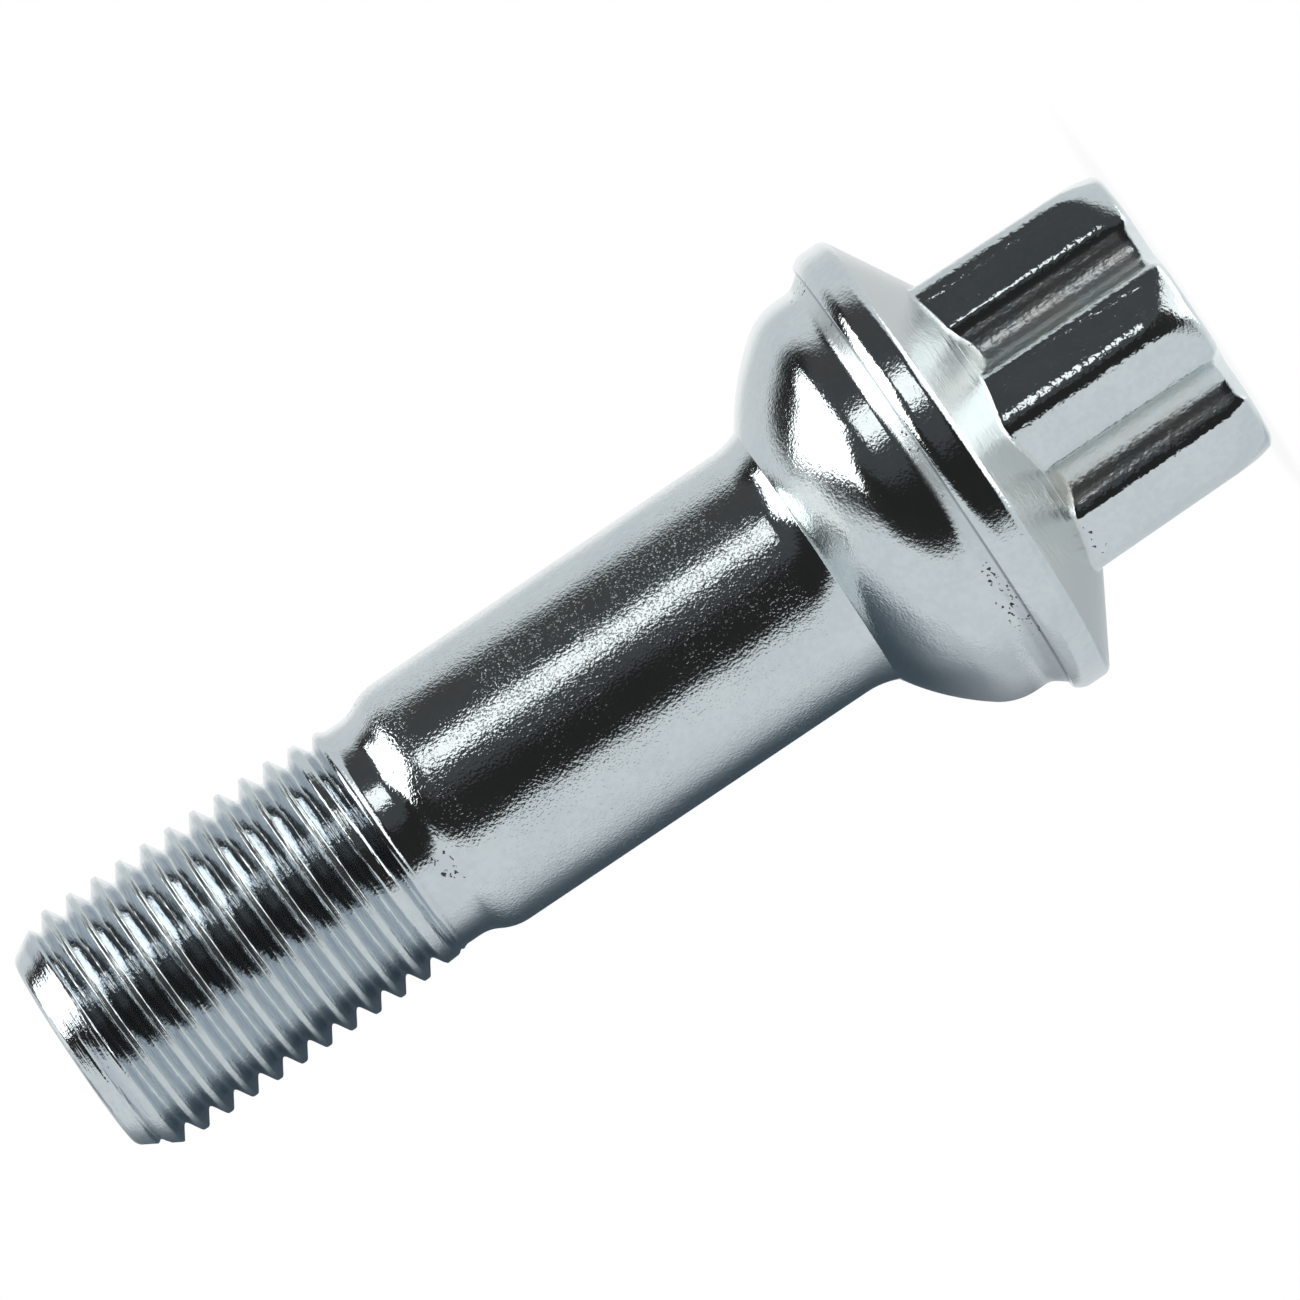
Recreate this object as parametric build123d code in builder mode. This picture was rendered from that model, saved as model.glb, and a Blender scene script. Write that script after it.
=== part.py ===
from build123d import *
import os
from math import atan2, ceil, cos, degrees, hypot, radians, sin, sqrt, tan

# Wheel bolt, forged in one piece: grooved hexagon head, flange, ball seat, shank and rolled thread.
# It stands on the end face of its head at the origin, with the thread upwards along +Z.
# Lengths are in millimetres and angles in degrees.

# Hexagon head
across_flats = 17.0             # at the flange, where a socket seats
head_length = 10.7              # end face to where the flats run into the flange's cone
head_draft = 0.7                # lean of each flat towards the end face
corner_rounding = 1.5           # between two flats
end_inset = 0.7                 # from a flat in to the edge of the end face
end_chamfer_angle = 40.0        # slope of the turned chamfer, from the end face
end_face_rounding = 0.4         # rounding between the chamfer and the end face
groove_width = 3.05             # in the middle of each flat
groove_depth = 1.0
groove_edge_rounding = 0.2

# Ball seat
seat_radius = 14.0
shoulder_inset = 2.13           # the shoulder's radius is this much below the seat's
shoulder_length = 1.67          # flange underside to where the shoulder starts to round over
shoulder_rounding = 3.4
seat_foot_rounding = 4.0        # where the shank swells towards the seat
seat_foot_lean = 25.0           # of the swell where it meets the seat

# Flange
flange_overhang = 1.265         # beyond the shoulder
cone_angle = 30.0               # slope of the flange's side towards the head
rim_height = 1.97
rim_lean = 38.0                 # of the rim's lower part, which narrows towards the seat
rim_lean_height = 0.45
rim_rounding = 0.6
rim_crown_rounding = 1.1
rim_lower_rounding = 0.1
flare_height = 0.75             # small flare between shoulder and flange
flare_width = 0.58
flare_rounding = 1.0

# Thread
thread_diameter = 13.8
thread_length = 19.55
thread_pitch = 1.5
thread_depth_ratio = 0.57       # depth over pitch
root_width_ratio = 0.16         # flat at the bottom of the groove over pitch
thread_flank_angle = 30.0
thread_crest_level = 0.48       # height of a crest above the end face on the +X side, within one pitch
first_crest_step = 0.2          # the first crest stands this much above the neck
thread_start_angle = 30.0
run_out_length = 3.0            # over which the crests grow to full height
tip_step = 1.3                  # from the crests in to the edge of the tip's face
tip_angle = 30.0
tip_rounding = 0.6

# Shank and neck
under_seat_length = 45.0        # edge of the seat to the tip
shank_step = 0.69               # from the neck out to the shank
neck_length = 1.4
step_angle = 30.0
step_upper_share = 0.58         # part of the step's slope taken up by the rounding at the shank
step_lower_share = 0.38         # part of the step's slope taken up by the rounding at the neck

# Clearances by which a cutting shape runs past the surface it cuts, and past the end of another cut
cutter_overrun = 0.08
groove_overlap = 0.03

# Radii
flat_count = 6
head_radius = across_flats / 2
shoulder_radius = seat_radius - shoulder_inset
flange_radius = shoulder_radius + flange_overhang
thread_depth = thread_depth_ratio * thread_pitch
thread_radius = thread_diameter / 2
root_radius = thread_radius - thread_depth
neck_radius = thread_radius - thread_depth / 2
first_crest_radius = neck_radius + first_crest_step
tip_radius = thread_radius - tip_step
shank_radius = neck_radius + shank_step
core_radius = (head_radius - groove_depth) / 2

# Hexagon, run up into the flange's cone, and the turned chamfer at its end
corner_reach = head_radius / cos(radians(180 / flat_count))
lip_reach = (head_radius + corner_reach) / 2
cone_slope = tan(radians(cone_angle))
hexagon_level = head_length + (corner_reach - head_radius) * cone_slope
end_flat_radius = head_radius - hexagon_level * tan(radians(head_draft))
end_face_radius = end_flat_radius - end_inset
corner_chamfer_level = (corner_reach - end_face_radius) * tan(radians(end_chamfer_angle))

# Circle that cuts a groove of the given width and depth into a flat
groove_radius = (groove_width**2 / 4 + groove_depth**2) / (2 * groove_depth)
groove_centre = head_radius - groove_depth + groove_radius

# Flange levels, upwards from the end face
core_level = head_length - (head_radius - core_radius) * cone_slope
rim_level = head_length + (flange_radius - head_radius) * cone_slope
underside_level = rim_level + rim_height
crown_level = underside_level - rim_lean_height
underside_radius = flange_radius - rim_lean_height * tan(radians(rim_lean))

# The shoulder's arc touches the shoulder's cylinder and, from inside, the seat's sphere
arc_level = underside_level + shoulder_length
arc_radius = shoulder_radius - shoulder_rounding
arc_reach = seat_radius - shoulder_rounding
arc_rise = sqrt(arc_reach**2 - arc_radius**2)
seat_level = arc_level - arc_rise
seat_top_radius = arc_radius * seat_radius / arc_reach
seat_top_level = seat_level + arc_rise * seat_radius / arc_reach

# The shank's swell meets the sphere at a crease
foot_edge_radius = shank_radius + seat_foot_rounding * (1 - cos(radians(seat_foot_lean)))
foot_edge_level = seat_level + sqrt(seat_radius**2 - foot_edge_radius**2)
foot_level = foot_edge_level + seat_foot_rounding * sin(radians(seat_foot_lean))

# Thread, neck and shank levels, downwards from the tip
seat_edge_level = seat_level + sqrt(seat_radius**2 - shank_radius**2)
tip_level = seat_edge_level + under_seat_length
tip_cone_level = tip_level - tip_step / tan(radians(tip_angle))
thread_level = tip_level - thread_length
first_crest_level = thread_level + first_crest_step / tan(radians(thread_start_angle))
full_crest_level = first_crest_level + run_out_length
joint_level = thread_level - neck_length / 2
step_length = shank_step / tan(radians(step_angle))
step_level = thread_level - neck_length - step_length

# Roundings of the step, as large as their share of the slope allows
step_slope_length = shank_step / sin(radians(step_angle))
step_half_turn = tan(radians(step_angle / 2))
step_upper_rounding = step_upper_share * step_slope_length / step_half_turn
step_lower_rounding = step_lower_share * step_slope_length / step_half_turn

# Thread groove: full depth from the first crest on, with one turn of run-out before that
groove_outer_radius = thread_radius + cutter_overrun
root_half_width = root_width_ratio * thread_pitch / 2
mouth_half_width = root_half_width + (groove_outer_radius - root_radius) * tan(radians(thread_flank_angle))
groove_phase = thread_crest_level + thread_pitch / 2
first_turn = ceil((first_crest_level - groove_phase) / thread_pitch)
groove_start_level = groove_phase + first_turn * thread_pitch
groove_end_level = tip_level + thread_pitch
run_out_lift = groove_outer_radius - root_radius
run_out_cone = -degrees(atan2(run_out_lift, thread_pitch))


def thread_groove(start_level, end_level, lift, cone):
    """Helical groove from the +X side at start_level; it starts lifted off and sinks in along the cone."""
    with BuildPart() as groove:
        with BuildLine() as path:
            # On a cone the pitch runs along the slope
            Helix(
                thread_pitch / cos(radians(cone)),
                end_level - start_level,
                thread_radius + lift,
                center=(0, 0, start_level),
                cone_angle=cone,
            )
        with BuildSketch(Plane.XZ):
            with BuildLine():
                Polyline(
                    (root_radius + lift, start_level - root_half_width),
                    (root_radius + lift, start_level + root_half_width),
                    (groove_outer_radius + lift, start_level + mouth_half_width),
                    (groove_outer_radius + lift, start_level - mouth_half_width),
                    close=True,
                )
            make_face()
        sweep(path=path.line, is_frenet=True)
    return groove.part


def axis_distance(edge):
    """How far the middle of an edge is from the bolt's axis."""
    return hypot(edge.center().X, edge.center().Y)


full_groove = thread_groove(groove_start_level, groove_end_level, 0, 0)
run_out_groove = thread_groove(
    groove_start_level - thread_pitch,
    groove_start_level + groove_overlap,
    run_out_lift,
    run_out_cone,
)

# Threaded end, from the middle of the neck to the tip
with BuildPart() as threaded_end:
    with BuildSketch(Plane.XY.offset(joint_level)):
        Circle(thread_radius)
    extrude(amount=groove_end_level + thread_pitch - joint_level)
    add(full_groove, mode=Mode.SUBTRACT)
    add(run_out_groove, mode=Mode.SUBTRACT)
    with BuildSketch(Plane.XZ):
        with BuildLine():
            FilletPolyline(
                (0, joint_level),
                (neck_radius, joint_level),
                (neck_radius, thread_level),
                (first_crest_radius, first_crest_level),
                (thread_radius, full_crest_level),
                (thread_radius, tip_cone_level),
                (tip_radius, tip_level),
                (0, tip_level),
                radius=[0, 0, 0, 0, 0, tip_rounding],
            )
            Line((0, tip_level), (0, joint_level))
        make_face()
    revolve(axis=Axis.Z, mode=Mode.INTERSECT)

with BuildPart() as wheel_bolt:
    # Hexagon head, drafted towards its end face
    with BuildSketch(Plane.XY.offset(hexagon_level)) as hexagon:
        RegularPolygon(head_radius, flat_count, major_radius=False, rotation=180 / flat_count)
        fillet(hexagon.vertices(), corner_rounding)
    extrude(amount=-hexagon_level, taper=head_draft)

    # Turned chamfer at the end, rounded into the end face
    with BuildSketch(Plane.XZ):
        with BuildLine():
            FilletPolyline(
                (0, 0),
                (end_face_radius, 0),
                (corner_reach, corner_chamfer_level),
                (corner_reach, hexagon_level),
                (0, hexagon_level),
                radius=[end_face_rounding, 0, 0],
            )
            Line((0, hexagon_level), (0, 0))
        make_face()
    revolve(axis=Axis.Z, mode=Mode.INTERSECT)

    # A groove along the middle of every flat
    with BuildSketch():
        with PolarLocations(groove_centre, flat_count):
            Circle(groove_radius)
    extrude(amount=hexagon_level, mode=Mode.SUBTRACT)
    long_edges = wheel_bolt.edges().filter_by(lambda edge: edge.length > head_length / 2)
    fillet(long_edges.filter_by(lambda edge: axis_distance(edge) < lip_reach), groove_edge_rounding)

    # Flange, ball seat, shank and the neck's lower half
    with BuildSketch(Plane.XZ):
        with BuildLine():
            flange_line = FilletPolyline(
                (0, core_level),
                (core_radius, core_level),
                (flange_radius, rim_level),
                (flange_radius, crown_level),
                (underside_radius, underside_level),
                (shoulder_radius + flare_width, underside_level),
                (shoulder_radius, underside_level + flare_height),
                (shoulder_radius, arc_level),
                radius=[0, rim_rounding, rim_crown_rounding, rim_lower_rounding, 0, flare_rounding],
            )
            shoulder = TangentArc(flange_line @ 1, (seat_top_radius, seat_top_level), tangent=(0, 1))
            seat = TangentArc(shoulder @ 1, (foot_edge_radius, foot_edge_level), tangent=shoulder % 1)
            TangentArc((shank_radius, foot_level), seat @ 1, tangent=(0, -1))
            FilletPolyline(
                (shank_radius, foot_level),
                (shank_radius, step_level),
                (neck_radius, step_level + step_length),
                (neck_radius, joint_level),
                (0, joint_level),
                radius=[step_upper_rounding, step_lower_rounding, 0],
            )
            Line((0, joint_level), (0, core_level))
        make_face()
    revolve(axis=Axis.Z)

    add(threaded_end.part)

wheel_bolt.part.label = "wheel_bolt"

os.makedirs("parts", exist_ok=True)
export_step(wheel_bolt.part, "parts/wheel_bolt.step")
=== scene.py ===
import math

import bpy
import numpy as np
from mathutils import Matrix, Vector


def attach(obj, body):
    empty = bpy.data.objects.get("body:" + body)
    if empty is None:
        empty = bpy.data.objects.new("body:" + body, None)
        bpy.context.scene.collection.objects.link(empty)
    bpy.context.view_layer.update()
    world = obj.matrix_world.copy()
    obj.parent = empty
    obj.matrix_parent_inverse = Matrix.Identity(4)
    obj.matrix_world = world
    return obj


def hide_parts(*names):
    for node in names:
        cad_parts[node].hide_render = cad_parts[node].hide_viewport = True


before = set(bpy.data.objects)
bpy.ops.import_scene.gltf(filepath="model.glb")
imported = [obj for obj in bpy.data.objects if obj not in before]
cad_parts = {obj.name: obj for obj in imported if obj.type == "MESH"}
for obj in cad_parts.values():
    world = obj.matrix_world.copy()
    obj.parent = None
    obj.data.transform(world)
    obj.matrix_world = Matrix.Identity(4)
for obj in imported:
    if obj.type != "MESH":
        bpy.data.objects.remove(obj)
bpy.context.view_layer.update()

# Shapes are worked out in millimetres, in the frame of the CAD model: the bolt stands on the end
# face of its head and the thread points up along +Z.
MILLIMETRE = 0.001

# Hexagon head
FLAT_COUNT = 6
HEAD_RADIUS = 8.5
CORNER_ROUNDING = 1.5
HEAD_DRAFT = math.radians(0.7)
HEXAGON_LEVEL = 11.459
GROOVE_RADIUS = 1.663
GROOVE_CENTRE = 9.163
GROOVE_LIP_ROUNDING = 0.45
END_FACE_RADIUS = 8.45
END_CHAMFER = math.radians(55)
END_FACE_ROUNDING = 0.4
END_EDGE_ROUNDING = 0.8

# Flange
CONE_LEVEL = 10.7
CONE_ANGLE = math.radians(30)
CONE_FILLET = 0.18
FLANGE_RADIUS = 13.135
RIM_LEVEL = 13.376
RIM_ROUNDING = 0.6
CROWN_LEVEL = 14.896
CROWN_ROUNDING = 1.1
UNDERSIDE_RADIUS = 12.783
UNDERSIDE_LEVEL = 15.346
UNDERSIDE_ROUNDING = 0.15
FLARE_WIDTH = 0.58
FLARE_HEIGHT = 0.75
FLARE_ROUNDING = 1.0
FLARE_LIP_ROUNDING = 0.05

# Ball seat: a sphere between a rounded shoulder and a small foot
SHOULDER_RADIUS = 11.87
SHOULDER_LEVEL = 17.016
SHOULDER_ROUNDING = 3.4
SEAT_RADIUS = 14.0
SEAT_LEVEL = 10.643
FOOT_ROUNDING = 4.0
FOOT_LEAN = 25
CREASE_ROUNDING = 0.12

# Shank, neck and thread
SHANK_RADIUS = 7.1625
NECK_RADIUS = 6.4725
STEP_LEVEL = 45.527
STEP_ROUNDING = 2.98
NECK_LEVEL = 46.722
NECK_ROUNDING = 1.95
THREAD_LEVEL = 48.122
THREAD_RADIUS = 6.9
THREAD_FLANK = math.radians(31)
ROOT_RADIUS = 6.045
ROOT_HALF_WIDTH = 0.1
PITCH = 1.5
GROOVE_PHASE = 46.23
FULL_GROOVE_LEVEL = 49.23
FIRST_CREST_STEP = 0.2
FIRST_CREST_RISE = 0.346
FIRST_CREST_ROUNDING = 0.3
FULL_CREST_RISE = 3.346
FULL_CREST_ROUNDING = 3
TIP_CONE_LEVEL = 65.420
TIP_CONE_ROUNDING = 0.8
TIP_RADIUS = 5.6
TIP_ROUNDING = 0.6
TIP_LEVEL = 67.6717

# Heights over which the thread's section rounds at its roots and crests and where it meets the outline
ROOT_SOFTNESS = 0.22
CREST_SOFTNESS = 0.1
OUTLINE_SOFTNESS = 0.06

# Mesh density
HEAD_COLUMNS = 48 * FLAT_COUNT
BODY_COLUMNS = 192
THREAD_COLUMNS = 120
THREAD_ROWS = 20
THREAD_TURNS = 13


# Distances, negative inside the metal

def rounded_and(first, second, radius):
    """Intersection of two solids with its edge rounded."""
    corner = np.hypot(np.maximum(first + radius, 0), np.maximum(second + radius, 0))
    return np.minimum(np.maximum(first, second), -radius) + corner


def rounded_or(first, second, radius):
    """Union of two solids with a fillet where they meet."""
    corner = np.hypot(np.maximum(radius - first, 0), np.maximum(radius - second, 0))
    return np.maximum(np.minimum(first, second), radius) - corner


def hexagon_distance(reach, level, angle):
    """Distance to the drafted hexagon with a groove along the middle of every flat."""
    sector = 2 * math.pi / FLAT_COUNT
    turn = np.abs((angle + sector / 2) % sector - sector / 2)
    across = reach * np.cos(turn)
    along = reach * np.sin(turn)
    core = HEAD_RADIUS - CORNER_ROUNDING - (HEXAGON_LEVEL - level) * math.tan(HEAD_DRAFT)
    corner = np.maximum(along - core * math.tan(sector / 2), 0)
    outside = np.hypot(np.maximum(across - core, 0), corner)
    flats = np.where(across > core, outside, across - core) - CORNER_ROUNDING
    groove = np.hypot(across - GROOVE_CENTRE, along) - GROOVE_RADIUS
    return rounded_and(flats, -groove, GROOVE_LIP_ROUNDING)


def end_distance(reach, level):
    """Distance to the end face and the chamfer turned on it."""
    chamfer = (reach - END_FACE_RADIUS) * math.sin(END_CHAMFER) - level * math.cos(END_CHAMFER)
    return rounded_and(chamfer, -level, END_FACE_ROUNDING)


def cone_distance(reach, level):
    """Distance to the flange's side towards the head."""
    slope = math.tan(CONE_ANGLE)
    return (CONE_LEVEL + (reach - HEAD_RADIUS) * slope - level) * math.cos(CONE_ANGLE)


def head_distance(reach, level, angle):
    """Distance to the head with its end, run into the cone."""
    hexagon = hexagon_distance(reach, level, angle)
    head = rounded_and(hexagon, end_distance(reach, level), END_EDGE_ROUNDING)
    return rounded_or(head, cone_distance(reach, level), CONE_FILLET)


# Outlines, as rows of (distance from the axis, level)

def arc(centre, radius, start, end, step=4.5):
    """Points of an arc between two angles in degrees, ends included."""
    count = max(2, math.ceil(abs(end - start) / step)) + 1
    turn = np.radians(np.linspace(start, end, count))
    return np.column_stack((centre[0] + radius * np.cos(turn), centre[1] + radius * np.sin(turn)))


def rounded_line(corners):
    """A line through corners (distance, level, rounding) with an arc at every rounded corner."""
    points = []
    for index, (reach, level, rounding) in enumerate(corners):
        corner = np.array((reach, level))
        if rounding == 0:
            points.append(corner)
            continue
        back = np.array(corners[index - 1][:2]) - corner
        ahead = np.array(corners[index + 1][:2]) - corner
        back /= np.linalg.norm(back)
        ahead /= np.linalg.norm(ahead)
        half = math.acos(float(np.clip(back @ ahead, -1, 1))) / 2
        middle = back + ahead
        centre = corner + middle / np.linalg.norm(middle) * rounding / math.sin(half)
        tangent = rounding / math.tan(half)
        first = corner + back * tangent - centre
        last = corner + ahead * tangent - centre
        start = math.degrees(math.atan2(first[1], first[0]))
        sweep = math.degrees(math.atan2(first[0] * last[1] - first[1] * last[0], first @ last))
        points.extend(arc(centre, rounding, start, start + sweep))
    return np.array(points)


def spread(points, count, bend_weight):
    """Places of count samples along a line, closer together where it bends."""
    steps = np.diff(points, axis=0)
    lengths = np.hypot(steps[:, 0], steps[:, 1])
    headings = np.unwrap(np.arctan2(steps[:, 1], steps[:, 0]))
    bends = np.abs(np.diff(headings, append=headings[-1]))
    weights = np.concatenate(((0,), np.cumsum(lengths + bend_weight * bends)))
    return np.interp(np.linspace(0, weights[-1], count + 1), weights, np.arange(len(points)))


def find_surface(low, high, distance):
    """Where between low and high a distance passes through zero."""
    low = low.copy()
    high = high.copy()
    for _ in range(45):
        middle = (low + high) / 2
        inside = distance(middle) < 0
        low = np.where(inside, middle, low)
        high = np.where(inside, high, middle)
    return (low + high) / 2


# Mesh, gathered ring by ring from the middle of the end face to the middle of the tip

points = []
faces = []


def add_points(new_points):
    """Keeps new points and returns their numbers in the same arrangement."""
    first = sum(len(block) for block in points)
    flat = new_points.reshape(-1, 3)
    points.append(flat)
    return first + np.arange(len(flat)).reshape(new_points.shape[:-1])


def turned(rows, angles):
    """Rings of points: every row of an outline, turned to every angle."""
    reach, angle = np.meshgrid(rows[:, 0], angles, indexing="ij")
    level = np.repeat(rows[:, 1:2], len(angles), axis=1)
    return np.stack((reach * np.cos(angle), reach * np.sin(angle), level), axis=-1)


def join(lower, upper):
    """Quads between two rows of as many points."""
    faces.extend(zip(lower[:-1], lower[1:], upper[1:], upper[:-1]))


def join_rings(rings):
    for lower, upper in zip(rings[:-1], rings[1:]):
        join(np.append(lower, lower[0]), np.append(upper, upper[0]))


def stitch(lower, lower_angles, upper, upper_angles):
    """Triangles between two rings whose points stand at different angles."""
    lower = np.append(lower, lower[0])
    upper = np.append(upper, upper[0])
    lower_turns = np.append(lower_angles, 2 * math.pi)
    upper_turns = np.append(upper_angles, 2 * math.pi)
    low = 0
    high = 0
    while low < len(lower) - 1 or high < len(upper) - 1:
        step_low = high == len(upper) - 1
        if low < len(lower) - 1 and not step_low:
            step_low = lower_turns[low] + lower_turns[low + 1] < upper_turns[high] + upper_turns[high + 1]
        if step_low:
            faces.append((lower[low], lower[low + 1], upper[high]))
            low += 1
        else:
            faces.append((lower[low], upper[high + 1], upper[high]))
            high += 1


def fan(middle, ring, outwards):
    """Triangles from a middle point to a ring."""
    following = np.roll(ring, -1)
    for here, after in zip(ring, following):
        faces.append((middle, after, here) if outwards else (here, after, middle))


def even_angles(count):
    return np.arange(count) * 2 * math.pi / count


# Head: a guide line is swept round, and each of its points moves along the guide's normal to the surface

def head_angles():
    """Angles of the head's columns, closer together at corners and groove lips."""
    fine = np.linspace(0, 2 * math.pi / FLAT_COUNT, 3001)
    level = np.full_like(fine, CONE_LEVEL / 2)
    inside = np.full_like(fine, 6.0)
    outside = np.full_like(fine, 11.0)
    reach = find_surface(inside, outside, lambda reach: hexagon_distance(reach, level, fine))
    section = np.column_stack((reach * np.cos(fine), reach * np.sin(fine)))
    places = spread(section, HEAD_COLUMNS // FLAT_COUNT, bend_weight=0.9)[:-1]
    sector = np.interp(places, np.arange(len(fine)), fine)
    starts = even_angles(FLAT_COUNT)
    return (starts[:, None] + sector[None, :]).ravel()


def head_guide():
    """Rows of the guide line and its outward normals."""
    inner_reach = 0.9
    outer_reach = 11.0
    side = 8.42
    side_middle = 3.0
    end_arc = 1.42
    foot_arc = 3.0
    cone_gap = 0.06
    turn = math.pi / 2 - CONE_ANGLE
    foot_start = CONE_LEVEL - foot_arc * math.tan(turn / 2)
    rows = []
    for reach in np.linspace(inner_reach, side - end_arc, 8, endpoint=False):
        rows.append((reach, 0, 0, -1))
    for angle in np.linspace(-math.pi / 2, 0, 34, endpoint=False):
        normal = (math.cos(angle), math.sin(angle))
        rows.append((side + end_arc * (normal[0] - 1), end_arc * (normal[1] + 1), *normal))
    for low, high in ((end_arc, side_middle), (side_middle, foot_start)):
        for level in np.linspace(low, high, 8, endpoint=False):
            rows.append((side, level, 1, 0))
    for angle in np.linspace(0, turn, 46, endpoint=False):
        normal = (math.cos(angle), -math.sin(angle))
        rows.append((side + foot_arc * (1 - normal[0]), foot_start - foot_arc * normal[1], *normal))
    normal = (math.sin(CONE_ANGLE), -math.cos(CONE_ANGLE))
    for reach in np.linspace(rows[-1][0] + cone_gap, outer_reach, 6):
        rows.append((reach, CONE_LEVEL + (reach - side) * math.tan(CONE_ANGLE), *normal))
    return np.array(rows)


def build_head():
    """The head from the middle of its end face to the cone. Returns its last ring and the ring's angles."""
    deepest = -1.35
    highest = 1.5
    angles = head_angles()
    guide = head_guide()
    shape = (len(guide), len(angles))
    reach, level, reach_normal, level_normal = (
        np.repeat(guide[:, column : column + 1], len(angles), axis=1) for column in range(4)
    )
    angle = np.repeat(angles[None, :], len(guide), axis=0)
    moved = find_surface(
        np.full(shape, deepest),
        np.full(shape, highest),
        lambda move: head_distance(reach + move * reach_normal, level + move * level_normal, angle),
    )
    reach = reach + moved * reach_normal
    level = level + moved * level_normal
    rings = add_points(np.stack((reach * np.cos(angle), reach * np.sin(angle), level), axis=-1))
    middle = add_points(np.zeros((1, 3)))[0]
    fan(middle, rings[0], True)
    join_rings(rings)
    return rings[-1], angles


# Flange, ball seat, shank and step

def body_outline():
    """The turned outline from the flange's cone to the middle of the neck's step."""
    cone = [
        (reach, CONE_LEVEL + (reach - HEAD_RADIUS) * math.tan(CONE_ANGLE), 0)
        for reach in (11.35, 12.2)
    ]
    flange = rounded_line((
        *cone,
        (FLANGE_RADIUS, RIM_LEVEL, RIM_ROUNDING),
        (FLANGE_RADIUS, CROWN_LEVEL, CROWN_ROUNDING),
        (UNDERSIDE_RADIUS, UNDERSIDE_LEVEL, UNDERSIDE_ROUNDING),
        (SHOULDER_RADIUS + FLARE_WIDTH, UNDERSIDE_LEVEL, FLARE_LIP_ROUNDING),
        (SHOULDER_RADIUS, UNDERSIDE_LEVEL + FLARE_HEIGHT, FLARE_ROUNDING),
        (SHOULDER_RADIUS, SHOULDER_LEVEL - 0.4, 0),
    ))
    shoulder_centre = (SHOULDER_RADIUS - SHOULDER_ROUNDING, SHOULDER_LEVEL)
    shoulder_turn = math.degrees(math.acos(shoulder_centre[0] / (SEAT_RADIUS - SHOULDER_ROUNDING)))
    foot_reach = SHANK_RADIUS + FOOT_ROUNDING
    crease_reach = foot_reach - FOOT_ROUNDING * math.cos(math.radians(FOOT_LEAN))
    crease_turn = math.degrees(math.acos(crease_reach / SEAT_RADIUS))
    crease_level = SEAT_LEVEL + SEAT_RADIUS * math.sin(math.radians(crease_turn))
    foot_level = crease_level + FOOT_ROUNDING * math.sin(math.radians(FOOT_LEAN))
    shoulder = arc(shoulder_centre, SHOULDER_ROUNDING, 0, shoulder_turn)
    seat = arc((0, SEAT_LEVEL), SEAT_RADIUS, shoulder_turn, crease_turn, 2)
    foot = arc((foot_reach, foot_level), FOOT_ROUNDING, 180 + FOOT_LEAN, 180)
    crease = rounded_line((
        (*seat[-2], 0),
        (*seat[-1], CREASE_ROUNDING),
        (*foot[1], 0),
    ))
    shank_levels = np.linspace(foot_level + 2, STEP_LEVEL - 3, 6)
    shank = np.column_stack((np.full_like(shank_levels, SHANK_RADIUS), shank_levels))
    return np.concatenate((flange, shoulder, seat[1:-1], crease[1:-1], foot[1:], shank))


def end_outline():
    """The turned outline from the shank to the middle of the tip, with the thread's crests."""
    return rounded_line((
        (SHANK_RADIUS, STEP_LEVEL - 2, 0),
        (SHANK_RADIUS, STEP_LEVEL, STEP_ROUNDING),
        (NECK_RADIUS, NECK_LEVEL, NECK_ROUNDING),
        (NECK_RADIUS, THREAD_LEVEL, FIRST_CREST_ROUNDING),
        (NECK_RADIUS + FIRST_CREST_STEP, THREAD_LEVEL + FIRST_CREST_RISE, FIRST_CREST_ROUNDING),
        (THREAD_RADIUS, THREAD_LEVEL + FULL_CREST_RISE, FULL_CREST_ROUNDING),
        (THREAD_RADIUS, TIP_CONE_LEVEL, TIP_CONE_ROUNDING),
        (TIP_RADIUS, TIP_LEVEL, TIP_ROUNDING),
        (4.0, TIP_LEVEL, 0),
        (1.0, TIP_LEVEL, 0),
    ))


def soft_max(first, second, width):
    """The larger of two values, with a smooth change where they differ by less than width."""
    mix = np.maximum(width - np.abs(first - second), 0) / width
    return np.maximum(first, second) + mix * mix * width / 4


def soft_min(first, second, width):
    """The smaller of two values, with a smooth change where they differ by less than width."""
    return -soft_max(-first, -second, width)


def thread_section(offset):
    """Distance from the axis across one groove, by the offset from the middle of the groove."""
    rise = (np.abs(offset) - ROOT_HALF_WIDTH) / math.tan(THREAD_FLANK)
    groove = soft_max(ROOT_RADIUS + rise, ROOT_RADIUS, ROOT_SOFTNESS)
    return soft_min(groove, THREAD_RADIUS, CREST_SOFTNESS)


def thread_reach(level, angle, outline):
    """Distance from the axis at a level and angle: the outline with the thread's groove in it.

    Over the groove's first turn the groove is lifted, so that it runs out of the neck.
    """
    place = (level - GROOVE_PHASE) / PITCH - angle / (2 * math.pi)
    offset = (place - np.round(place)) * PITCH
    before_full = np.clip((FULL_GROOVE_LEVEL - (level - offset)) / PITCH, 0, 1)
    full_lift = THREAD_RADIUS - ROOT_RADIUS + 0.1
    lift = before_full * before_full * (3 - 2 * before_full) * full_lift
    envelope = np.interp(level, outline[:, 1], outline[:, 0])
    return soft_min(thread_section(offset) + lift, envelope, OUTLINE_SOFTNESS)


def thread_places():
    """Places of the thread's rows within one pitch, closer together where the section bends."""
    offset = np.linspace(0, PITCH, 2001)
    wrapped = offset - PITCH * np.round(offset / PITCH)
    section = np.column_stack((offset, thread_section(wrapped)))
    places = spread(section, THREAD_ROWS, bend_weight=1.0)
    return np.interp(places, np.arange(len(offset)), offset) / PITCH


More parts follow.
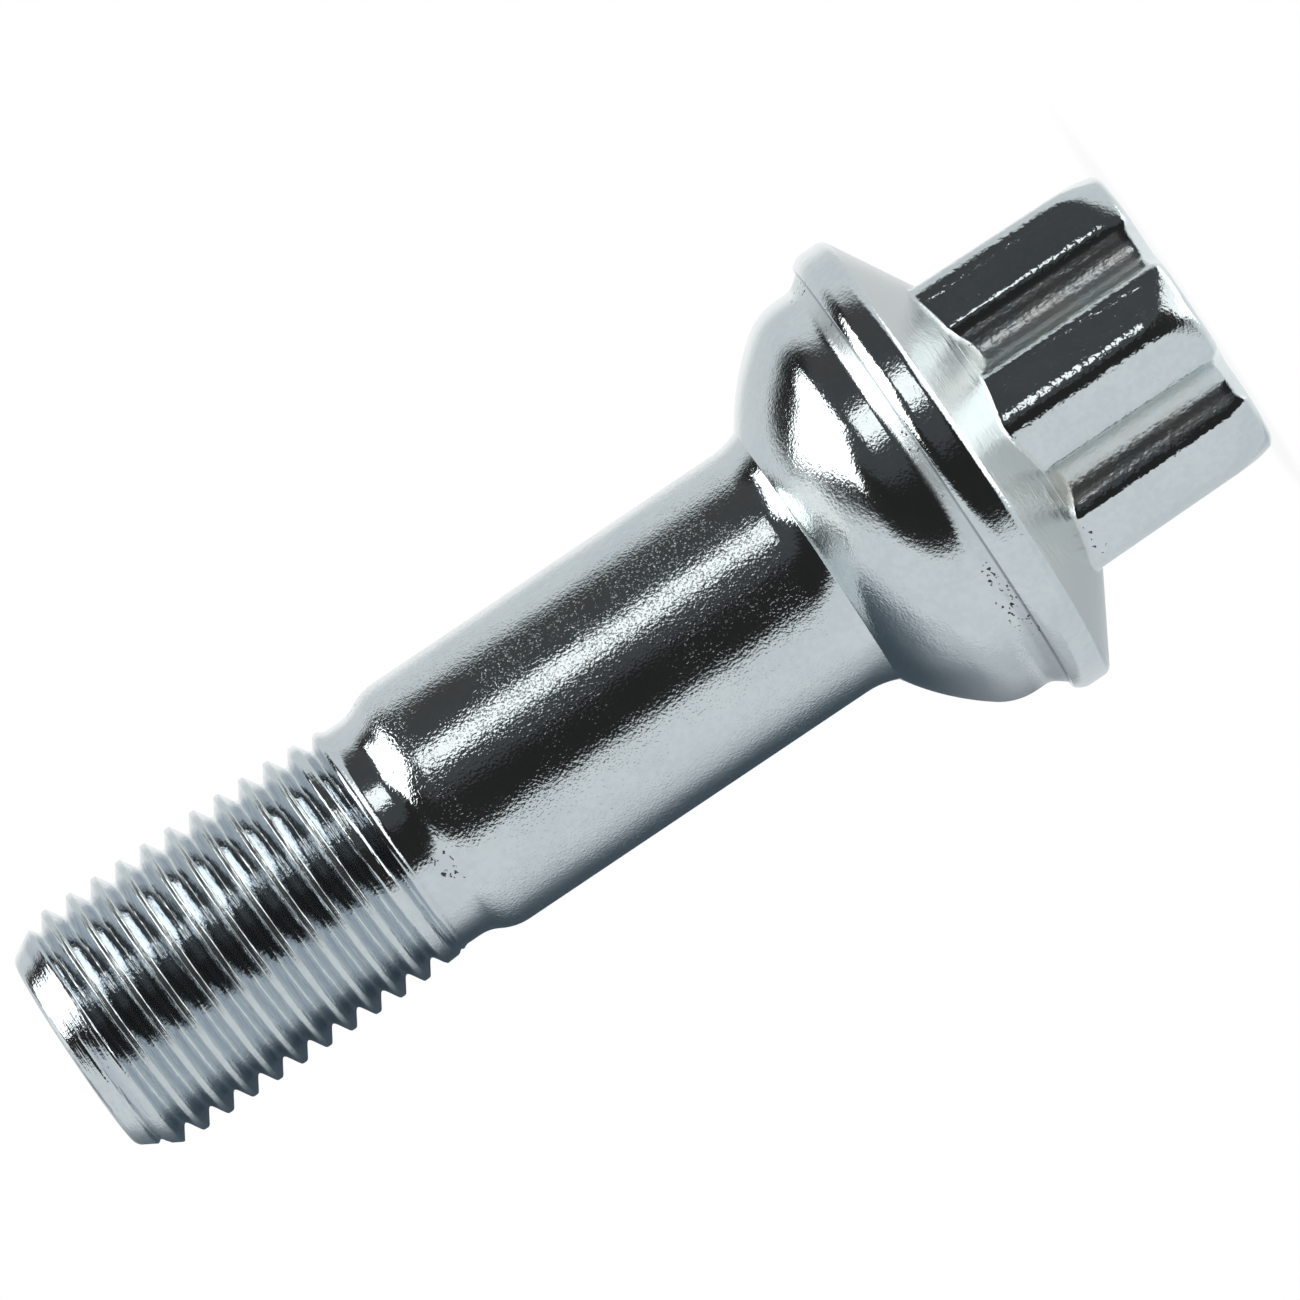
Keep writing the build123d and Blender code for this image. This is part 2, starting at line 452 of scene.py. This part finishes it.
def build_thread(outline):
    """The threaded end as one helical band with a wedge at either end. Returns its first and last ring."""
    places = thread_places()
    columns = THREAD_COLUMNS
    turn = np.arange(columns + 1) / columns

    def place_points(level, angle):
        reach = thread_reach(level, angle, outline)
        return np.stack((reach * np.cos(angle), reach * np.sin(angle), level), axis=-1)

    # The band, a row of it being one turn along the helix, which ends where a later row starts
    steps = np.concatenate([cycle + places[:-1] for cycle in range(THREAD_TURNS)] + [(THREAD_TURNS,)])
    rise, around = np.meshgrid(steps, turn[:-1], indexing="ij")
    band = add_points(place_points(GROOVE_PHASE + PITCH * (rise + around), around * 2 * math.pi))
    last_rise = GROOVE_PHASE + PITCH * (THREAD_TURNS + places[1:])
    last_edge = add_points(place_points(last_rise, np.zeros(THREAD_ROWS)))
    closed = np.column_stack((band, np.concatenate((band[THREAD_ROWS:, 0], last_edge))))
    for lower, upper in zip(closed[:-1], closed[1:]):
        join(lower, upper)

    # Lower wedge, from a level ring up to the band's first row
    rise, around = np.meshgrid(places[:-1], turn[1:-1], indexing="ij")
    wedge = add_points(place_points(GROOVE_PHASE + PITCH * rise * around, around * 2 * math.pi))
    wedge = np.column_stack((wedge, band[:THREAD_ROWS, 0]))
    wedge = np.vstack((wedge, closed[0][1:]))
    for lower, upper in zip(wedge[:-1], wedge[1:]):
        faces.append((band[0, 0], lower[0], upper[0]))
        join(lower, upper)
    first_ring = np.concatenate(((band[0, 0],), wedge[0][:-1]))

    # Upper wedge, from the band's last row up to a level ring
    rise, around = np.meshgrid(places[1:], turn[1:-1], indexing="ij")
    level = GROOVE_PHASE + PITCH * (THREAD_TURNS + around + (1 - around) * rise)
    wedge = add_points(place_points(level, around * 2 * math.pi))
    wedge = np.column_stack((last_edge, wedge))
    wedge = np.vstack((closed[-1][:-1], wedge))
    for lower, upper in zip(wedge[:-1], wedge[1:]):
        join(lower, upper)
        faces.append((lower[-1], closed[-1][-1], upper[-1]))
    last_ring = wedge[-1]
    return first_ring, last_ring


def build_bolt():
    """The whole bolt as one closed mesh that stands for the CAD node."""
    head_ring, angles = build_head()
    body_angles = even_angles(BODY_COLUMNS)
    body_rings = add_points(turned(body_outline(), body_angles))
    stitch(head_ring, angles, body_rings[0], body_angles)
    join_rings(body_rings)

    outline = end_outline()
    levels = outline[:, 1]
    thread_angles = even_angles(THREAD_COLUMNS)
    thread_end = GROOVE_PHASE + PITCH * (THREAD_TURNS + 1)
    least_gap = 0.03
    neck_rings = add_points(turned(outline[levels < GROOVE_PHASE - least_gap], thread_angles))
    stitch(body_rings[-1], body_angles, neck_rings[0], thread_angles)
    first_ring, last_ring = build_thread(outline)
    join_rings(np.vstack((neck_rings, first_ring)))

    tip_rings = add_points(turned(outline[levels > thread_end + least_gap], thread_angles))
    join_rings(np.vstack((last_ring, tip_rings)))
    tip_middle = add_points(np.array(((0, 0, TIP_LEVEL),)))[0]
    fan(tip_middle, tip_rings[-1], False)

    mesh = bpy.data.meshes.new("wheel_bolt_surface")
    vertices = np.concatenate(points) * MILLIMETRE
    corners = [tuple(int(corner) for corner in face) for face in faces]
    mesh.from_pydata(vertices.tolist(), [], corners)
    mesh.validate()
    mesh.shade_smooth()
    bolt = bpy.data.objects.new("wheel_bolt_surface", mesh)
    bpy.context.scene.collection.objects.link(bolt)
    return bolt


# Camera: level with the middle of the bolt and turned about its line of sight, so that the head is
# at the upper right as in the photograph

def build_camera():
    """A camera whose picture is frame_width wide at the bolt."""
    distance = 0.68
    frame_width = 0.06584
    aim = Vector((0.000734, 0, 0.03211))
    lean_sine = 0.5570
    lean_cosine = 0.8305
    data = bpy.data.cameras.new("camera")
    data.sensor_width = 36
    data.lens = data.sensor_width * distance / frame_width
    camera = bpy.data.objects.new("camera", data)
    right = Vector((-lean_sine, 0, -lean_cosine))
    up = Vector((lean_cosine, 0, -lean_sine))
    back = Vector((0, -1, 0))
    turn = Matrix((right, up, back)).transposed().to_4x4()
    camera.matrix_world = Matrix.Translation(aim + back * distance) @ turn
    bpy.context.scene.collection.objects.link(camera)
    bpy.context.scene.camera = camera


# Node trees

class Nodes:
    """Short ways to add nodes to one node tree."""

    def __init__(self, owner):
        owner.use_nodes = True
        self.tree = owner.node_tree
        self.tree.nodes.clear()

    def add(self, kind, inputs=None, **settings):
        """A new node with its settings, and its inputs set to a value or linked from a socket."""
        node = self.tree.nodes.new(kind)
        for name, value in settings.items():
            setattr(node, name, value)
        for name, value in (inputs or {}).items():
            if isinstance(value, bpy.types.NodeSocket):
                self.tree.links.new(value, node.inputs[name])
            else:
                node.inputs[name].default_value = value
        return node

    def math(self, operation, first, second=0.0):
        return self.add("ShaderNodeMath", {0: first, 1: second}, operation=operation).outputs[0]

    def fade(self, value, start, full):
        """0 up to start and 1 from full on, with a smooth change between."""
        ends = {"Value": value, "From Min": start, "From Max": full}
        return self.add("ShaderNodeMapRange", ends, interpolation_type="SMOOTHSTEP").outputs[0]

    def blend(self, share, first, second):
        """Mix of two colours."""
        mix = self.add("ShaderNodeMix", data_type="RGBA")
        for socket, value in ((mix.inputs[0], share), (mix.inputs[6], first), (mix.inputs[7], second)):
            if isinstance(value, bpy.types.NodeSocket):
                self.tree.links.new(value, socket)
            else:
                socket.default_value = value
        return mix.outputs[2]

    def vector(self, operation, first, second):
        return self.add("ShaderNodeVectorMath", {0: first, 1: second}, operation=operation).outputs[0]

    def length(self, first, second):
        """Length of the flat vector with these two parts."""
        parts = self.add("ShaderNodeCombineXYZ", {0: first, 1: second}).outputs[0]
        return self.add("ShaderNodeVectorMath", {0: parts}, operation="LENGTH").outputs["Value"]

    def product(self, *values):
        result = values[0]
        for value in values[1:]:
            result = self.math("MULTIPLY", result, value)
        return result

    def total(self, *values):
        result = values[0]
        for value in values[1:]:
            result = self.math("ADD", result, value)
        return result

    def band(self, value, start, full, full_end, end):
        """1 from full to full_end, with smooth changes from start and to end."""
        return self.product(self.fade(value, start, full), self.fade(value, end, full_end))

    def noise(self, place, scale, detail=2.0):
        inputs = {"Vector": place, "Scale": scale, "Detail": detail}
        return self.add("ShaderNodeTexNoise", inputs).outputs[0]


def grey(level, blue=0.0):
    """A grey, or a slightly bluish one."""
    return (level * (1 - blue), level, level * (1 + blue), 1)


# Studio. A direction is given by its angle round the bolt, from the camera towards +X, and its height
# towards the thread

def toward(angle, height):
    angle = math.radians(angle)
    height = math.radians(height)
    return Vector((
        math.sin(angle) * math.cos(height),
        -math.cos(angle) * math.cos(height),
        math.sin(height),
    ))


# Sides of the room: direction, angle from it at which the side starts to show, angle at which it shows
# in full, and its tone. Later sides cover earlier ones
DARK_ROOM = grey(0.021, -0.03)
ROOM_SIDES = (
    (toward(0, 90), 16, 6, grey(0.4, 0.03)),
    (toward(48, 3), 44, 37, grey(0.065, 0.06)),
    (toward(-125, 8), 95, 86, grey(0.76, 0.03)),
    (toward(84, 2), 20, 8, grey(0.065)),
    (toward(-172, -32), 96, 82, grey(0.72, 0.03)),
    (toward(-163, -30), 26, 10, grey(0.54, 0.06)),
    (toward(150, 76), 17, 9, grey(1.0)),
    (toward(-150, 60), 24, 4, grey(0.3, 0.1)),
)

# Part of the white background that the metal mirrors, given in the same way
BACKDROP = (toward(164, 0), 24, 8)


def build_world():
    """A dark room with soft pale sides, which the metal mirrors, and a white background."""
    world = bpy.data.worlds.new("studio")
    bpy.context.scene.world = world
    nodes = Nodes(world)
    direction = nodes.add("ShaderNodeTexCoord").outputs["Generated"]

    def side_share(side, start, full):
        along = nodes.add("ShaderNodeVectorMath", {0: direction, 1: side}, operation="DOT_PRODUCT")
        ends = [math.cos(math.radians(angle)) for angle in (start, full)]
        return nodes.fade(along.outputs["Value"], *ends)

    tone = DARK_ROOM
    for side, start, full, colour in ROOM_SIDES:
        tone = nodes.blend(side_share(side, start, full), tone, colour)
    path = nodes.add("ShaderNodeLightPath").outputs
    mirrored = nodes.math("MAXIMUM", path["Is Glossy Ray"], path["Is Transmission Ray"])
    mirrored = nodes.math("MULTIPLY", mirrored, side_share(*BACKDROP))
    seen = nodes.math("MAXIMUM", path["Is Camera Ray"], mirrored)
    shown = nodes.blend(seen, tone, grey(1.0))
    background = nodes.add("ShaderNodeBackground", {"Color": shown, "Strength": 1.0})
    nodes.add("ShaderNodeOutputWorld", {"Surface": background.outputs[0]})


def build_lamp(name, direction, side, half_angle, brightness):
    """A square soft lamp that faces the bolt from one direction."""
    distance = 0.95
    middle = Vector((0, 0, 0.033))
    data = bpy.data.lights.new(name, "AREA")
    data.shape = "SQUARE"
    data.size = 2 * distance * math.tan(math.radians(half_angle))
    data.energy = brightness * math.pi * data.size**2
    lamp = bpy.data.objects.new(name, data)
    back = direction.normalized()
    up = back.cross(side).normalized()
    right = up.cross(back)
    turn = Matrix((right, up, back)).transposed().to_4x4()
    lamp.matrix_world = Matrix.Translation(middle + back * distance) @ turn
    lamp.visible_camera = False
    bpy.context.scene.collection.objects.link(lamp)


def build_floor():
    """A pale round floor that pales into the background. The metal mirrors only the middle of it."""
    radius = 0.03
    count = 96
    drop = 0.00002
    head_reach = 0.008
    mirror_reach = 0.0088
    shade_reach = 0.014
    least_paleness = 0.9
    mesh = bpy.data.meshes.new("floor")
    turns = even_angles(count)
    ring = [(radius * math.cos(turn), radius * math.sin(turn), -drop) for turn in turns]
    mesh.from_pydata(ring, [], [tuple(range(count))])
    floor = bpy.data.objects.new("floor", mesh)
    bpy.context.scene.collection.objects.link(floor)
    material = bpy.data.materials.new("floor_white")
    nodes = Nodes(material)
    place = nodes.add("ShaderNodeTexCoord").outputs["Object"]
    middle = nodes.add("ShaderNodeVectorMath", {0: place}, operation="LENGTH").outputs["Value"]
    path = nodes.add("ShaderNodeLightPath").outputs
    mirrored = nodes.math("MAXIMUM", path["Is Glossy Ray"], path["Is Transmission Ray"])
    paler = nodes.product(nodes.fade(middle, head_reach, shade_reach), 1 - least_paleness)
    paleness = nodes.total(paler, least_paleness)
    share = nodes.math("MAXIMUM", nodes.product(path["Is Camera Ray"], paleness), mirrored)
    matt = nodes.add("ShaderNodeBsdfDiffuse", {"Color": grey(0.88)})
    white = nodes.add("ShaderNodeEmission", {"Color": grey(1.0), "Strength": 1.0})
    pale = nodes.add("ShaderNodeMixShader", {0: share, 1: matt.outputs[0], 2: white.outputs[0]})
    passing = nodes.math("MAXIMUM", mirrored, path["Is Shadow Ray"])
    passing = nodes.product(passing, nodes.fade(middle, head_reach, mirror_reach))
    clear = nodes.add("ShaderNodeBsdfTransparent")
    mix = nodes.add("ShaderNodeMixShader", {0: passing, 1: pale.outputs[0], 2: clear.outputs[0]})
    nodes.add("ShaderNodeOutputMaterial", {"Surface": mix.outputs[0]})
    mesh.materials.append(material)


def build_painted_shade_card():
    """Painted shade: a bent dark card with soft edges beside and behind the bolt's lower side, unseen by
    the camera, which the metal mirrors as a shadowed surface beside the bolt, so that this side looks
    darker.

    Its narrow inner wing is bent back behind the shank, and its lower edge keeps clear of seat and flare.
    """
    near = -5.2
    bend = -6.6
    darkest = -10
    close_end = -27
    far = -90
    back = 7.5
    wing_darkest = 4.0
    front = 3
    low = 15.6
    low_darkest = 17.2
    shank_foot = 24.2
    high_darkest = 66
    high = 78
    close_share = 0.7
    narrowing = -5
    corners = (
        (near, back, shank_foot),
        (near, back, high),
        (bend, front, high),
        (bend, front, shank_foot),
        (far, front, high),
        (far, front, low),
        (-12.3, front, low),
        (-11.6, front, 18.5),
    )
    corners = [Vector(corner) * MILLIMETRE for corner in corners]
    mesh = bpy.data.meshes.new("painted_shade_card")
    mesh.from_pydata(corners, [], [(0, 1, 2, 3), (3, 2, 4, 5, 6, 7)])
    card = bpy.data.objects.new("painted_shade_card", mesh)
    bpy.context.scene.collection.objects.link(card)
    material = bpy.data.materials.new("painted_shade_card")
    nodes = Nodes(material)
    place = nodes.add("ShaderNodeTexCoord").outputs["Object"]
    place = nodes.vector("DIVIDE", place, (MILLIMETRE, MILLIMETRE, MILLIMETRE))
    across, depth, level = nodes.add("ShaderNodeSeparateXYZ", {0: place}).outputs
    # Soft edges of the painted shadow that the card shows in the metal
    beside_seat = nodes.fade(level, 27, 17.5)
    narrowed = nodes.total(across, nodes.product(beside_seat, narrowing))
    close = nodes.product(nodes.fade(narrowed, close_end, darkest), close_share)
    distant = nodes.product(nodes.fade(across, far, darkest), 1 - close_share)
    wing = nodes.fade(depth, back, wing_darkest)
    ends = nodes.band(level, low, low_darkest, high_darkest, high)
    share = nodes.product(nodes.total(close, distant), wing, ends)
    clear = nodes.add("ShaderNodeBsdfTransparent")
    # Painted shade: the card's bluish dark grey, mirrored by the metal, darkens the bolt's lower side
    matt = nodes.add("ShaderNodeBsdfDiffuse", {"Color": grey(0.29, 0.2)})
    mix = nodes.add("ShaderNodeMixShader", {0: share, 1: clear.outputs[0], 2: matt.outputs[0]})
    nodes.add("ShaderNodeOutputMaterial", {"Surface": mix.outputs[0]})
    mesh.materials.append(material)
    card.visible_camera = False


# Plated steel. Places, levels and distances from the axis are in millimetres

def metal_zones(nodes):
    """The place on the bolt, and the share of each zone that is finished in its own way, or, for the
    thread's flanks and roots, darkened by painted shade.
    """
    place = nodes.add("ShaderNodeTexCoord").outputs["Object"]
    place = nodes.vector("DIVIDE", place, (MILLIMETRE, MILLIMETRE, MILLIMETRE))
    along_x, along_y, level = nodes.add("ShaderNodeSeparateXYZ", {0: place}).outputs
    reach = nodes.length(along_x, along_y)
    cone_rise = nodes.product(nodes.math("SUBTRACT", reach, HEAD_RADIUS), math.tan(CONE_ANGLE))
    over_cone = nodes.math("SUBTRACT", level, nodes.total(cone_rise, CONE_LEVEL))
    beside_seam = nodes.math("SUBTRACT", reach, SHOULDER_RADIUS + FLARE_WIDTH)
    seam = nodes.length(beside_seam, nodes.math("SUBTRACT", level, 15.36))
    threaded = nodes.fade(level, THREAD_LEVEL - 0.3, THREAD_LEVEL + 0.6)
    crests = nodes.product(nodes.fade(reach, THREAD_RADIUS - 0.14, THREAD_RADIUS - 0.04), threaded)
    turn = nodes.product(nodes.math("ARCTAN2", along_y, along_x), PITCH / (2 * math.pi))
    climb = nodes.math("SUBTRACT", nodes.math("SUBTRACT", level, GROOVE_PHASE), turn)
    beside_crest = nodes.math("PINGPONG", nodes.total(climb, PITCH / 2), PITCH / 2)
    lips = nodes.total(nodes.fade(reach, 8.74, 8.64), nodes.fade(reach, 9.2, 9.4))
    return {
        "place": place,
        "cone": nodes.product(nodes.fade(over_cone, -0.12, -0.03), nodes.fade(level, 13.3, 13.1)),
        "grooves": nodes.product(nodes.fade(reach, 8.35, 8.1), nodes.band(level, 0.6, 1.2, 10.6, 11.0)),
        "edges": nodes.product(lips, nodes.band(level, 1.0, 2.0, 11.0, 11.5)),
        "seam": nodes.fade(seam, 0.13, 0.05),
        "head_foot": nodes.product(nodes.band(level, 9.4, 10.0, 10.6, 11.0), nodes.fade(reach, 9.6, 9.4)),
        "flare": nodes.product(nodes.band(level, 15.3, 15.4, 15.9, 16.3), nodes.fade(reach, 12.7, 12.5)),
        "beside_flare": nodes.band(level, 15.1, 15.4, 16.0, 17.2),
        "shank": nodes.band(level, 23.5, 24.5, 45.5, 46.5),
        "step": nodes.band(level, 45.6, 46.2, 47.0, 47.6),
        "threaded": threaded,
        "crests": crests,
        "crest_seam": nodes.product(nodes.fade(beside_crest, 0.11, 0.03), crests),
        # Thread's flanks and roots, which get painted shade in the colour
        "painted_flank_shade": nodes.product(nodes.band(reach, 6.08, 6.2, 6.2, 6.75), threaded),
        "tip": nodes.fade(level, TIP_LEVEL - 0.05, TIP_LEVEL - 0.01),
    }


def metal_bump(nodes, zones):
    """Waves, grain and pits of the plating, streaks along grooves and thread, turning marks on the cone."""
    place = zones["place"]
    along_thread = nodes.vector("MULTIPLY", place, (0.5, 0.5, 6.0))
    along_groove = nodes.vector("MULTIPLY", place, (7.0, 7.0, 0.4))
    round_cone = nodes.vector("MULTIPLY", place, (0.8, 0.8, 14.0))
    patches = nodes.fade(nodes.noise(place, 0.25, 1.0), 0.38, 0.58)
    pitted = nodes.total(nodes.product(patches, zones["shank"]), 0.15)
    pits = nodes.product(nodes.fade(nodes.noise(place, 8.0, 0.0), 0.56, 0.72), pitted)
    grain = nodes.total(nodes.product(zones["shank"], 0.01), 0.01)
    height = nodes.total(
        nodes.product(nodes.noise(place, 0.3, 1.0), 0.03),
        nodes.product(nodes.noise(place, 1.6, 2.0), 0.009),
        nodes.product(nodes.noise(place, 6.0, 1.0), grain),
        nodes.product(nodes.noise(place, 3.2, 1.0), zones["edges"], 0.03),
        nodes.product(pits, 0.006),
        nodes.product(zones["crest_seam"], -0.02),
        nodes.product(nodes.noise(along_groove, 1.0, 2.0), zones["grooves"], 0.012),
        nodes.product(nodes.noise(round_cone, 1.0, 2.0), zones["cone"], 0.012),
        nodes.product(nodes.noise(along_thread, 1.0, 2.0), zones["threaded"], 0.055),
    )
    inputs = {"Height": height, "Strength": 1.0, "Distance": MILLIMETRE}
    return nodes.add("ShaderNodeBump", inputs).outputs[0]


def metal_dirt(nodes, zones):
    """Specks of dirt, most of them in patches at the flange's seam, the neck's step and the head's foot."""
    place = zones["place"]
    patches = nodes.fade(nodes.noise(place, 0.22, 1.0), 0.48, 0.6)
    dirty = nodes.total(zones["beside_flare"], zones["step"], zones["head_foot"])
    dirty = nodes.product(dirty, patches)
    limit = nodes.math("SUBTRACT", 0.76, nodes.product(dirty, 0.16))
    return nodes.fade(nodes.math("SUBTRACT", nodes.noise(place, 3.5, 3.0), limit), 0.0, 0.04)


def metal_colour(nodes, zones, cloud, dirt):
    """Slightly clouded bluish zinc, greyer on the cone, stained in the grooves, dark in seam and dirt, with
    painted shade making the thread's flanks and roots darker and bluer.
    """
    mottle = nodes.total(cloud, nodes.noise(zones["place"], 2.5, 3.0))
    stain = nodes.product(zones["grooves"], nodes.fade(cloud, 0.42, 0.62))
    darker_zinc = (0.67, 0.73, 0.742, 1)
    paler_zinc = (0.72, 0.776, 0.783, 1)
    colour = nodes.blend(nodes.fade(mottle, 0.75, 1.25), darker_zinc, paler_zinc)
    for share, tone in (
        (zones["cone"], (0.70, 0.725, 0.712, 1)),
        # Painted shade: the thread's flanks and roots are darker and bluer
        (nodes.product(zones["painted_flank_shade"], 0.85), (0.52, 0.57, 0.63, 1)),
        (nodes.product(stain, 0.3), (0.62, 0.58, 0.48, 1)),
        (nodes.product(zones["seam"], 0.7), (0.30, 0.31, 0.33, 1)),
        (dirt, (0.10, 0.10, 0.10, 1)),
    ):
        colour = nodes.blend(share, colour, tone)
    return colour


def metal_roughness(nodes, zones, cloud, dirt):
    """Roughness of the plating, higher where it is satin, worn or dirty."""
    return nodes.total(
        nodes.product(cloud, 0.08),
        nodes.product(zones["cone"], 0.14),
        nodes.product(zones["grooves"], 0.2),
        nodes.product(zones["flare"], 0.2),
        nodes.product(zones["crests"], 0.14),
        nodes.product(zones["tip"], 0.25),
        nodes.product(dirt, 0.4),
        0.06,
    )


def build_metal():
    material = bpy.data.materials.new("plated_steel")
    nodes = Nodes(material)
    zones = metal_zones(nodes)
    cloud = nodes.noise(zones["place"], 0.35, 3.0)
    dirt = metal_dirt(nodes, zones)
    inputs = {
        "Base Color": metal_colour(nodes, zones, cloud, dirt),
        "Metallic": 1.0,
        "Roughness": metal_roughness(nodes, zones, cloud, dirt),
        "Normal": metal_bump(nodes, zones),
    }
    shader = nodes.add("ShaderNodeBsdfPrincipled", inputs)
    nodes.add("ShaderNodeOutputMaterial", {"Surface": shader.outputs[0]})
    return material


bolt = build_bolt()
bolt.data.materials.append(build_metal())
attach(bolt, "root")
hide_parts("wheel_bolt")
build_camera()
build_world()
build_lamp(
    "large_softbox",
    direction=Vector((0.642, -0.21, 0.737)),
    side=Vector((0.33, 0.944, 0)),
    half_angle=22.8,
    brightness=2.4,
)
build_lamp(
    "small_softbox",
    direction=toward(40, 1),
    side=Vector((0, 0, 1)),
    half_angle=9.5,
    brightness=1.25,
)
build_lamp(
    "low_softbox",
    direction=toward(50, -71),
    side=Vector((0, 1, 0)),
    half_angle=28,
    brightness=1.15,
)
build_floor()
build_painted_shade_card()

scene = bpy.context.scene
scene.view_settings.view_transform = "Standard"
